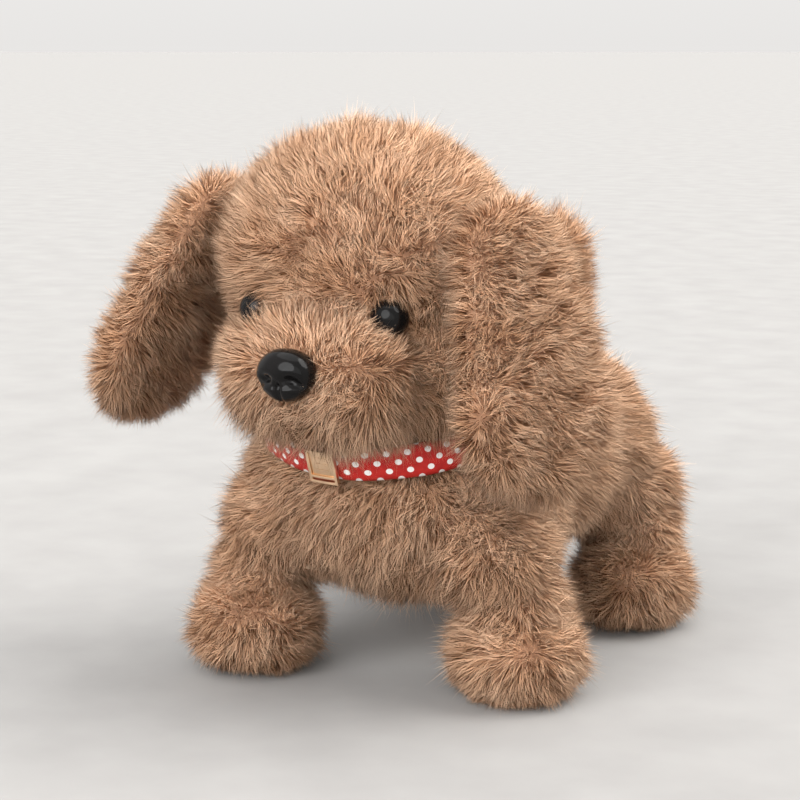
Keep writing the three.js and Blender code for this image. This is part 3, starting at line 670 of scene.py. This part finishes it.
SKULL = ((0, -58, 133), (42.5, 34, 36))
MUZZLE = ((0, -82, 104), (27.5, 19.5, 18))
EYES = {"left": (23.0, -87.8, 120), "right": (-20.5, -88.4, 120)}
EYE_RADIUS = 5.6
NOSE = (0, -105, 104.5)
BROW = (0, -94, 119)
NOSE_SEAT = ((0, -102.5, 104.5), 6.6)  # no fibres grow inside this ball
EYE_SEAT_RADIUS = 4.2


def head_skin():
    lumps = [
        SKULL,
        MUZZLE,
        ((13, -86, 103), (15, 15, 15.5)),
        ((-13, -86, 103), (15, 15, 15.5)),
        ((24, -66, 103), (17, 17, 15)),
        ((-24, -66, 103), (17, 17, 15)),
        ((0, -54, 103), (32, 26, 15)),
    ]
    return lump_mesh("head_skin", lumps, rounds=3)


def head_comb(points, normals):
    """Away from the nose on the muzzle, from the brow above it, and off the eyes."""
    muzzle_share = np.minimum(1, 1.8 * near(points, (0, -98, 104), 36))[:, None]
    from_nose = unit(points - np.array(NOSE))
    from_brow = unit(points - np.array(BROW))
    down = np.array((0, 0.3, -0.55)) * (points[:, 2:3] < 108)
    combed = muzzle_share * from_nose + (1 - muzzle_share) * (from_brow + down)
    for eye in EYES.values():
        above = np.array(eye) + np.array((0, -1, 5))
        combed += 3.0 * near(points, above, 11)[:, None] * np.array((0, -0.4, -1))
        below = np.array(eye) + np.array((0, -2, -7))
        combed += 2.0 * near(points, below, 9)[:, None] * np.array((0, -0.3, 1))
    return combed + 1.2 * chin_share(points)[:, None] * np.array((0, 0, -1))


def chin_share(points):
    """1 under the jaw and cheeks, 0 higher up."""
    return np.clip((101 - points[:, 2]) / 9, 0, 1)


def head_length(points):
    """Longest under the jaw, shortest round the nose and the eyes."""
    length = np.full(len(points), 7.6) + 3.0 * chin_share(points)
    length += 1.6 * near(points, (0, -96, 104), 30)
    length -= 6.2 * near(points, NOSE, 15)
    for eye in EYES.values():
        length -= 4.4 * near(points, eye, 12)
    length -= 1.0 * near(points, (0, -96, 123), 14)
    return length


def outside_ball(points, centre, radius):
    return np.linalg.norm(points - np.array(centre), axis=1) > radius


def head_keep(points, normals):
    kept = outside_ball(points, *NOSE_SEAT)
    for eye in EYES.values():
        kept &= outside_ball(points, eye, EYE_SEAT_RADIUS)
    return kept


def head_painted_light_and_shade(points):
    """Painted light on the muzzle, painted shade in the crease round it, and painted shade round the eyes."""
    # Painted light on the muzzle.
    lift = 0.55 * near(points, (0, -100, 104), 40)
    from_muzzle = np.linalg.norm(points - np.array((0, -84, 102)), axis=1)
    # Painted shade in the crease round the muzzle.
    lift -= 0.35 * np.exp(-((from_muzzle - 30) / 4.5) ** 2) * (points[:, 1] < -72)
    for eye in EYES.values():
        # Painted shade round the eyes.
        lift -= 0.25 * near(points, eye, 14)
    return lift


# ------------------------------------------------------------------ nose and eyes


def smooth_object(name, mesh, material, body):
    """An object with smooth shading, riding on a body."""
    for polygon in mesh.polygons:
        polygon.use_smooth = True
    made = add_object(name, mesh, material)
    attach(made, body)
    return made


def ball_points(segments, rings):
    """A unit ball as a mesh, and its points."""
    shape = bmesh.new()
    bmesh.ops.create_uvsphere(shape, u_segments=segments, v_segments=rings, radius=1.0)
    mesh = bpy.data.meshes.new("ball")
    shape.to_mesh(mesh)
    shape.free()
    points = np.array([vertex.co for vertex in mesh.vertices])
    return mesh, points


NOSE_MIDDLE = (0, -106.0, 104.5)
NOSE_RADII = (9.0, 6.6, 7.6)
NOSE_NARROWING = 2.4  # how much narrower it is at the bottom
NOSE_SQUARENESS = 0.92  # a power: 1 is round, lower is squarer


def build_nose():
    """A moulded nose: broad and domed above, two nostrils, and a cleft below."""
    mesh, unit_ball = ball_points(96, 64)
    _, y, z = unit_ball.T
    half_width, half_depth, half_height = NOSE_RADII
    points = np.sign(unit_ball) * np.abs(unit_ball) ** NOSE_SQUARENESS
    points[:, 0] *= half_width - NOSE_NARROWING * np.clip(-z, 0, 1) ** 1.3
    points[:, 1] *= half_depth
    points[:, 2] *= half_height
    forward = np.clip(-y, 0, 1)
    for side in (-1, 1):
        nostril = np.hypot((points[:, 0] - side * 4.0) / 2.4, (points[:, 2] + 0.8) / 1.5)
        points[:, 1] += 3.0 * np.exp(-nostril ** 2) * forward
        flank = np.hypot((points[:, 0] - side * 6.8) / 1.7, (points[:, 2] + 2.2) / 1.2)
        points[:, 1] += 2.2 * np.exp(-flank ** 2) * forward
    cleft = np.exp(-(points[:, 0] / 0.8) ** 2) * np.clip((-points[:, 2] + 0.2) / 2.5, 0, 1)
    points[:, 1] += 2.0 * cleft * forward
    across = np.clip(1 - np.abs(points[:, 0]) / 7, 0, 1)
    groove = np.exp(-((points[:, 2] + 2.6) / 0.7) ** 2) * across
    points[:, 1] += 0.8 * groove * forward
    set_mesh_points(mesh, points + np.array(NOSE_MIDDLE))
    nose = smooth_object("moulded_nose", mesh, gloss, "head")
    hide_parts("nose")


def build_eye(side):
    """A ball that looks forward and out, drawn out a little at the back."""
    sign = 1 if side == "left" else -1
    mesh, points = ball_points(48, 32)
    out = unit(np.array([(sign * 0.35, -1.0, 0.05)]))[0]
    points = points * EYE_RADIUS - 0.9 * out * np.clip(-(points @ out)[:, None], 0, 1)
    set_mesh_points(mesh, points + np.array(EYES[side]))
    eye = smooth_object(f"glass_eye_{side}", mesh, gloss, "head")
    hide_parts("eye_" + side)


# ------------------------------------------------------------------ collar

NECK_MIDDLE = np.array((0, -50, 84.5))
NECK_SLOPE = math.radians(20)
COLLAR_RADII = (39.4, 29.9)
COLLAR_WIDTH = 11.0
COLLAR_THICKNESS = 0.7
COLLAR_SLACK = 0.2
COLLAR_BOW = 0.5  # how far the middle of the ribbon stands out from its edges
DOT_PITCH = 5.8
DOT_RADIUS = 0.95
RIBBON_SHADE = (0.36, 0.012, 0.010)
RIBBON_RED = (0.50, 0.022, 0.016)
DOT_WHITE = (0.86, 0.82, 0.80)


def around_neck(angle, height, outward):
    """A point by the collar: angle from the throat, height up the neck, outward from the band."""
    rx, ry = (radius + outward for radius in COLLAR_RADII)
    level = np.broadcast_arrays(rx * np.sin(angle), -ry * np.cos(angle), height)
    return turned(np.stack(level, axis=-1), Matrix.Rotation(NECK_SLOPE, 3, "X")) + NECK_MIDDLE


def grid_mesh(name, points, closed):
    """A sheet of quads over points[row, column]; closed joins the last row to the first."""
    rows, columns = points.shape[:2]
    faces = []
    for row in range(rows if closed else rows - 1):
        after = (row + 1) % rows
        for column in range(columns - 1):
            faces.append((
                row * columns + column,
                row * columns + column + 1,
                after * columns + column + 1,
                after * columns + column,
            ))
    mesh = bpy.data.meshes.new(name)
    mesh.from_pydata([to_frame(p) for p in points.reshape(-1, 3)], [], faces)
    return mesh


def ribbon_material(length):
    """Red satin with white dots in staggered rows; u runs round the neck and v across."""
    made = Nodes("dotted_ribbon", 0.45, Specular_IOR_Level=0.25)
    layer = made.node("ShaderNodeUVMap", uv_map=FIBRE_LAYER)
    split = made.node("ShaderNodeSeparateXYZ")
    made.link(layer.outputs["UV"], split.inputs[0])
    along = made.calculate("MULTIPLY", split.outputs["X"], round(length / DOT_PITCH))
    across = made.calculate("MULTIPLY", split.outputs["Y"], COLLAR_WIDTH / DOT_PITCH)

    def squared_distance(place, shift):
        """From the middle of the dot's own square, along one axis."""
        in_square = made.calculate("FRACT", made.calculate("ADD", place, shift))
        from_middle = made.calculate("SUBTRACT", in_square, 0.5)
        return made.calculate("MULTIPLY", from_middle, from_middle)

    satin = made.mottle(500, 4, RIBBON_SHADE, RIBBON_RED)
    for shift in (0.0, 0.5):
        total = made.calculate("ADD", squared_distance(along, shift), squared_distance(across, shift))
        dot = made.calculate("LESS_THAN", made.calculate("SQRT", total), DOT_RADIUS / DOT_PITCH)
        satin = made.mix(dot, satin, DOT_WHITE)
    made.colour(satin)
    made.bump(made.noise(3000, 2), 0.15, 0.0001)
    return made.material


def ellipse_length(rx, ry, parts=2000):
    angle = np.linspace(0, 2 * math.pi, parts + 1)
    return float(np.sum(np.hypot(np.diff(rx * np.sin(angle)), np.diff(ry * np.cos(angle)))))


def build_ribbon():
    """A band of cloth round the neck, a little bowed across and rippled along."""
    rows, columns = 240, 9
    angle = np.linspace(0, 2 * math.pi, rows, endpoint=False)[:, None]
    across = np.linspace(-0.5, 0.5, columns)[None, :]
    bow = COLLAR_BOW * (0.25 - across ** 2) / 0.25
    ripple = 0.35 * np.sin(5 * angle + 0.7) + 0.2 * np.sin(11 * angle)
    height = across * COLLAR_WIDTH + 0.5 * np.sin(2 * angle + 1)
    points = around_neck(angle, height, COLLAR_SLACK + bow + ripple)
    mesh = grid_mesh("ribbon", points, closed=True)
    layer = mesh.uv_layers.new(name=FIBRE_LAYER)
    for polygon in mesh.polygons:
        row = polygon.index // (columns - 1)
        for loop in polygon.loop_indices:
            own_row, column = divmod(mesh.loops[loop].vertex_index, columns)
            round_again = rows if own_row < row else 0
            layer.data[loop].uv = ((own_row + round_again) / rows, column / (columns - 1))
    length = ellipse_length(*(radius + COLLAR_SLACK for radius in COLLAR_RADII))
    ribbon = smooth_object("collar_ribbon_band", mesh, ribbon_material(length), "chassis")
    thick = ribbon.modifiers.new("cloth thickness", "SOLIDIFY")
    thick.thickness = COLLAR_THICKNESS * MM
    thick.offset = 0
    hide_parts("collar_ribbon")


def build_slider():
    """The gilt three-bar slider on the throat: a bowed plate in a raised rim, with a lower bar."""
    low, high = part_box("collar_slider")
    middle = own((low + high) / 2)
    rx, ry = COLLAR_RADII
    angle = math.atan2(middle[0] / rx, -(middle[1] - NECK_MIDDLE[1]) / ry)
    shape = bmesh.new()

    def bar(from_across, to_across, from_up, to_up, low_out, high_out, parts=8):
        """A curved bar between these places across the throat, up the neck and out from it."""
        corners = ((from_up, low_out), (to_up, low_out), (to_up, high_out), (from_up, high_out))
        rings = []
        for step in range(parts + 1):
            across = from_across + (to_across - from_across) * step / parts
            place = angle + across / rx
            rings.append([
                shape.verts.new(to_frame(around_neck(place, up, out))) for up, out in corners
            ])
        for before, after in zip(rings, rings[1:]):
            for k in range(4):
                shape.faces.new((before[k], before[(k + 1) % 4], after[(k + 1) % 4], after[k]))
        shape.faces.new(rings[0][::-1])
        shape.faces.new(rings[-1])

    bar(-3.6, 3.6, -3.4, 4.6, 2.2, 3.0)  # the plate; then the rim and the raised bars on it
    for up in (-5.9, -4.2, 4.2):
        bar(-4.6, 4.6, up, up + 0.9, 2.0, 3.5)
    for across in (-4.6, 3.7):
        bar(across, across + 0.9, -5.9, 5.1, 2.0, 3.5, parts=2)
    for up in (-1.4, 0.6, 2.6):
        bar(-2.2, 2.2, up - 0.25, up + 0.25, 2.9, 3.2)
    bmesh.ops.recalc_face_normals(shape, faces=shape.faces)
    mesh = bpy.data.meshes.new("slider")
    shape.to_mesh(mesh)
    shape.free()
    slider = smooth_object("gilt_slider", mesh, gilt, "chassis")
    rounded = slider.modifiers.new("rounded edges", "BEVEL")
    rounded.width = 0.22 * MM
    rounded.segments = 3
    rounded.angle_limit = math.radians(40)
    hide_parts("collar_slider")


# ------------------------------------------------------------------ inner pieces

INNER_MATERIALS = {
    "shell_plastic": lambda: moulded_plastic("shell_plastic", (0.62, 0.44, 0.31)),
    "frame_plastic": lambda: moulded_plastic("frame_plastic", (0.70, 0.68, 0.64), 0.5),
    "gear_plastic": lambda: moulded_plastic("gear_plastic", (0.80, 0.78, 0.72), 0.4),
    "steel": lambda: metal("steel", (0.62, 0.62, 0.63)),
    "black_gloss": gloss_black,
    "circuit_board": lambda: moulded_plastic("circuit_board", (0.03, 0.22, 0.09), 0.45),
    "battery_cell": lambda: moulded_plastic("battery_cell", (0.16, 0.17, 0.20), 0.35),
    "speaker_cone": lambda: moulded_plastic("speaker_cone", (0.05, 0.05, 0.055), 0.7),
}


def finish_inner_pieces():
    """Every CAD piece that still shows gets the material of its slot."""
    made = {name: make() for name, make in INNER_MATERIALS.items()}
    slots = {part["node"]: part["material_slot"] for part in frame["record"]["subparts"]}
    for name, piece in frame["nodes"].items():
        if piece.hide_render:
            continue
        piece.data.materials.clear()
        piece.data.materials.append(made[slots[name]])


# ------------------------------------------------------------------ the build

def build_head():
    skin = head_skin()
    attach(skin, "head")
    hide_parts("head_plush")
    # The head's fibre tone carries painted light on the muzzle and painted shade round it and the eyes.
    grow_pile("head_pile", skin, "head", Pile(
        head_comb, head_length, lean=0.5, keep=head_keep, tone=head_painted_light_and_shade, seed=3))


BELLY_PANEL = ((-20, -31), (20, 49))
BELLY_TOP = 45
BELLY_FUR_MARGIN = 3.0
HEM_RADIUS = 1.9
HEM_HEIGHT = 33.2
HEM_SQUARENESS = 0.25  # a power: 1 is an oval, 0 a rectangle


def in_belly_panel(points, margin=0.0):
    """Which points of the cover lie over the panel that holds the door and the switch."""
    (x0, y0), (x1, y1) = BELLY_PANEL
    inside = (points[:, 0] > x0 - margin) & (points[:, 0] < x1 + margin)
    inside &= (points[:, 1] > y0 - margin) & (points[:, 1] < y1 + margin)
    return inside & (points[:, 2] < BELLY_TOP)


def open_belly(mesh):
    """Cuts the opening for the battery door and the switch out of the cover."""
    inside = np.flatnonzero(in_belly_panel(mesh_points(mesh)))
    shape = bmesh.new()
    shape.from_mesh(mesh)
    shape.verts.ensure_lookup_table()
    bmesh.ops.delete(shape, geom=[shape.verts[k] for k in inside], context="VERTS")
    shape.to_mesh(mesh)
    shape.free()


def build_belly_hem():
    """The rolled edge of the cover round the belly opening: a tube along a rounded oblong."""
    rows, columns = 200, 13
    (x0, y0), (x1, y1) = BELLY_PANEL
    angle = np.linspace(0, 2 * math.pi, rows, endpoint=False)
    circle = np.stack((np.cos(angle), np.sin(angle)), axis=1)
    square = np.sign(circle) * np.abs(circle) ** HEM_SQUARENESS
    path = square * np.array((x1 - x0, y1 - y0)) / 2 + np.array((x0 + x1, y0 + y1)) / 2
    along = np.roll(path, -1, axis=0) - np.roll(path, 1, axis=0)
    along /= np.linalg.norm(along, axis=1, keepdims=True)
    turn = np.linspace(0, 2 * math.pi, columns)
    points = np.empty((rows, columns, 3))
    points[:, :, 0] = path[:, :1] + HEM_RADIUS * np.cos(turn) * along[:, 1:]
    points[:, :, 1] = path[:, 1:] - HEM_RADIUS * np.cos(turn) * along[:, :1]
    points[:, :, 2] = HEM_HEIGHT + HEM_RADIUS * np.sin(turn)
    mesh = grid_mesh("hem", points, closed=True)
    hem = smooth_object("belly_hem", mesh, backing, "chassis")


def collar_height(points):
    """How far each point lies above the collar's middle line, along the collar's own axis."""
    axis = np.array((0, -math.sin(NECK_SLOPE), math.cos(NECK_SLOPE)))
    return (points - NECK_MIDDLE) @ axis


def body_keep(points, normals):
    """Bare under the ribbon and round the belly opening."""
    under_ribbon = (np.abs(collar_height(points)) < 4.5) & (points[:, 1] < 10)
    return ~in_belly_panel(points, BELLY_FUR_MARGIN) & ~under_ribbon


def body_comb(points, normals):
    """Back and down, and straighter down on the chest."""
    comb = np.tile(np.array((0, 0.55, -0.75)), (len(points), 1))
    comb[:, 2] -= 0.4 * (points[:, 1] < -55)
    return comb


def body_length(points):
    """Shorter on the belly, by the ribbon and on the rump."""
    by_ribbon = np.exp(-(collar_height(points) / 9) ** 2) * (points[:, 1] < 5)
    length = 8.6 - 4.5 * near(points, (0, 8, 28), 46) - 4.0 * by_ribbon
    return length - 2.2 * near(points, (15, 80, 65), 60)


def build_body():
    skin = lump_mesh("body_skin", [
        ((0, -37, 61), (49, 33, 31)),
        ((0, 4, 63), (46, 42, 30)),
        ((0, 40, 63), (45, 34, 32)),
        ((0, -50, 80), (33, 25, 14)),
        ((0, 64, 80), (13, 15, 13)),
        ((35, -48, 48), (15, 16, 18)),
        ((-35, -48, 48), (15, 16, 18)),
        ((33, 50, 48), (15, 18, 18)),
        ((-33, 50, 48), (15, 18, 18)),
    ])
    open_belly(skin.data)
    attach(skin, "chassis")
    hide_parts("body_plush")
    grow_pile("body_pile", skin, "chassis", Pile(
        body_comb, body_length, lean=0.55, keep=body_keep, seed=21))


def leg_lumps(leg):
    """A paw and a shank round the line from the hip to the floor, leaned as the leg stands."""
    side, lean = LEGS[leg]
    hip = np.array((side * LEG_X, hips[leg][1], hips[leg][2]))
    shapes = (
        ((0.8, -2.5, -35), (17, 17, 12)),
        ((0, -1.5, -43.5), (17, 17, 7)),
        ((0, 0, -22), (12, 12, 17)),
        ((-side * 2, 0, -6), (11.5, 13, 14)),
    )
    turn = Matrix.Rotation(LEG_LEAN * lean, 3, "X")
    return [(hip + turned([centre], turn)[0], radii, turn) for centre, radii in shapes]


def leg_comb(points, normals):
    """Down the leg; on the flat sole, which has no way down, only the wandering is left."""
    comb = np.tile(np.array((0, 0, -1.0)), (len(points), 1))
    comb[:, 2] *= np.clip((points[:, 2] - 4) / 20, 0.05, 1)
    return comb + 0.4 * normals


def leg_length(points):
    """Short at the sole and longer up the leg."""
    return np.clip(2.6 + points[:, 2] * 0.45, 2.6, 7.8)


SOLE_HEIGHT = 0.6


def build_leg(leg, seed):
    skin = lump_mesh(leg + "_skin", leg_lumps(leg))
    points = mesh_points(skin.data)
    points[:, 2] = np.maximum(points[:, 2], SOLE_HEIGHT)
    set_mesh_points(skin.data, points)
    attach(skin, leg)
    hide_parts(leg + "_plush")
    grow_pile(leg + "_pile", skin, leg, Pile(leg_comb, leg_length, lean=0.5, seed=seed))


EAR_SPREAD = {"left": 9, "right": 23.5}  # degrees away from the head
EAR_TURN = {"left": 24, "right": 0}  # degrees about the upright line
EAR_FORWARD = {"left": 8.5, "right": 0}
EAR_FULLNESS = {"left": 1.12, "right": 1.2}  # times as wide as the plain shape


def build_ear(side, seed):
    """A flap of three flat lumps that hangs from its root, with a curled pile."""
    sign = 1 if side == "left" else -1
    root = ear_roots[side]
    turn = Matrix.Rotation(math.radians(-sign * EAR_SPREAD[side]), 3, "Y")
    turn = turn @ Matrix.Rotation(math.radians(-sign * EAR_TURN[side]), 3, "Z")
    forward, fullness = EAR_FORWARD[side], EAR_FULLNESS[side]
    shapes = (
        ((sign * 7.5, -forward, -15), (7, 15 * fullness, 19)),
        ((sign * 9.5, -forward, -38), (7.5, 19 * fullness, 32)),
        ((sign * 10.5, -forward - 1, -55), (7.5, 21 * fullness, 22.5)),
    )
    lumps = [(root + turned([centre], turn)[0], radii, turn) for centre, radii in shapes]
    skin = lump_mesh(f"ear_{side}_skin", lumps)
    body = f"{side}_ear"
    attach(skin, body)
    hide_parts("ear_" + side)
    down = turned([(0, 0, -1)], turn)[0]
    grow_pile(f"ear_{side}_pile", skin, body, Pile(
        pointing(down), 7.8, lean=0.35, tuft=(3.8, 0.42), curl=0.7, swirl=1.1, seed=seed))


def build_tail():
    skin = lump_mesh("tail_skin", [
        ((0, 72, 97), (7.5, 6.5, 13)),
        ((0, 74, 117), (9, 8, 17)),
    ])
    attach(skin, "tail")
    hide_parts("tail_plush")
    grow_pile("tail_pile", skin, "tail", Pile(pointing((0, 0.3, 1)), 9.0, lean=0.4, seed=81))


FLOOR_DARK = (0.272, 0.265, 0.259)
FLOOR_LIGHT = (0.305, 0.298, 0.291)
FLOOR_RADIUS_M = 40.0


def add_floor():
    made = Nodes("floor", 0.85)
    made.colour(made.mottle(30, 4, FLOOR_DARK, FLOOR_LIGHT))
    bpy.ops.mesh.primitive_circle_add(
        vertices=96, radius=FLOOR_RADIUS_M, fill_type="NGON", location=(0, 0, 0))
    floor = bpy.context.object
    floor.name = "floor"
    floor.data.materials.append(made.material)


build_head()
build_body()
build_belly_hem()
for number, leg in enumerate(LEGS):
    build_leg(leg, seed=40 + number)
build_ear("left", seed=61)
build_ear("right", seed=62)
build_tail()
build_nose()
build_eye("left")
build_eye("right")
build_ribbon()
build_slider()
finish_inner_pieces()
add_floor()
